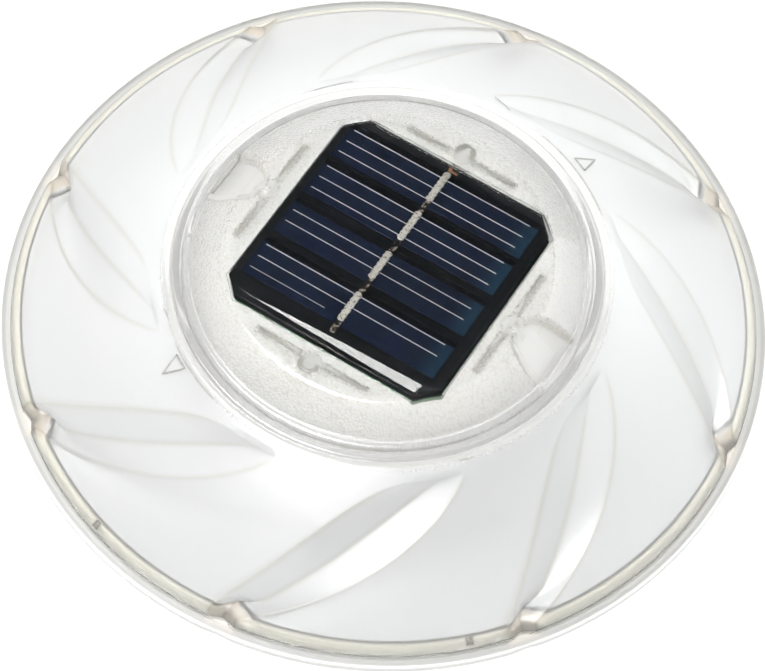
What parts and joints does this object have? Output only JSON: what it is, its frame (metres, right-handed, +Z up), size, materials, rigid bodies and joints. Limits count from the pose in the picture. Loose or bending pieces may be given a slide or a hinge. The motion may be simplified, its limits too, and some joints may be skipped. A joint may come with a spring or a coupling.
{
  "type": "floating pool light",
  "caption": "Round floating solar pool light: a frosted disc-shaped float with swept vanes and a clear twist-lock light module with solar panel, battery, switch and lens.",
  "frame": {"origin": "on the vertical axis of the float, at the height of the flat underside that it stands on", "axes": "+Z up through the module's cap; +X and +Y in the plane of the flange, with the module's finger scoops on a line 28.6 degrees clockwise from +X seen from above"},
  "size_m": [0.18, 0.18, 0.0582],
  "materials": {
    "frosted_plastic": "translucent frosted white moulding, smooth satin outside",
    "clear_plastic": "clear glossy moulding with a fine stipple on its underside",
    "housing_plastic": "clear moulding, slightly milky",
    "seal_rubber": "smooth black rubber",
    "panel_board": "black coated circuit board with a green edge",
    "solar_cell": "dark blue silicon with fine silver fingers",
    "tinned_ribbon": "tinned flat ribbon, tarnished in patches",
    "panel_resin": "clear poured resin",
    "tray_plastic": "smooth off-white moulding",
    "screw_steel": "plated steel, cross recess",
    "lens_plastic": "clear polished moulding",
    "reflector_plastic": "glossy white moulding",
    "board_green": "green circuit board with solder resist",
    "led_resin": "water-clear resin",
    "chip_plastic": "black moulded plastic",
    "ferrite": "dark ferrite drum with a copper winding",
    "capacitor_sleeve": "shrunk dark sleeve, bare aluminium top",
    "resistor_body": "tan coating with colour bands",
    "battery_wrap": "plain green shrink wrap",
    "contact_metal": "nickel-plated spring steel",
    "door_plastic": "clear milky moulding",
    "button_rubber": "blue silicone rubber",
    "plunger_plastic": "white moulding",
    "wire_black": "black insulation",
    "wire_red": "red insulation",
    "wire_grey": "grey insulation"
  },
  "bodies": {
    "float": {"float_upper_shell": "frosted_plastic", "float_lower_shell": "frosted_plastic"},
    "module": {"module_cap": "clear_plastic", "module_housing": "housing_plastic", "cap_seal_ring": "seal_rubber", "solar_panel_board": "panel_board", "solar_cell_1": "solar_cell", "solar_cell_2": "solar_cell", "solar_cell_3": "solar_cell", "solar_cell_4": "solar_cell", "cell_ribbon": "tinned_ribbon", "panel_resin": "panel_resin", "panel_tray": "tray_plastic", "tray_screw_1": "screw_steel", "tray_screw_2": "screw_steel", "tray_screw_3": "screw_steel", "tray_screw_4": "screw_steel", "lens": "lens_plastic", "lens_gasket": "seal_rubber", "reflector": "reflector_plastic", "circuit_board": "board_green", "led_1": "led_resin", "led_2": "led_resin", "led_3": "led_resin", "board_screw_1": "screw_steel", "board_screw_2": "screw_steel", "controller_chip": "chip_plastic", "inductor": "ferrite", "capacitor": "capacitor_sleeve", "resistor": "resistor_body", "battery": "battery_wrap", "battery_plate": "contact_metal", "battery_spring": "contact_metal", "battery_door": "door_plastic", "door_gasket": "seal_rubber", "door_screw_1": "screw_steel", "door_screw_2": "screw_steel", "switch_body": "chip_plastic", "panel_wire_negative": "wire_black", "panel_wire_positive": "wire_red", "battery_wire_negative": "wire_black", "battery_wire_positive": "wire_red", "switch_wire_1": "wire_grey", "switch_wire_2": "wire_grey"},
    "switch": {"switch_button": "button_rubber", "switch_plunger": "plunger_plastic"}
  },
  "joints": [
    {"name": "module_twist", "type": "hinge", "parent": "float", "child": "module", "pos_m": [0, 0, 0.04], "axis": [0, 0, 1], "range_deg": [0, 40]},
    {"name": "switch_press", "type": "slide", "parent": "module", "child": "switch", "axis": [0, 0, 1], "range_m": [0, 0.001], "stiffness_N_per_m": 1500}
  ]
}
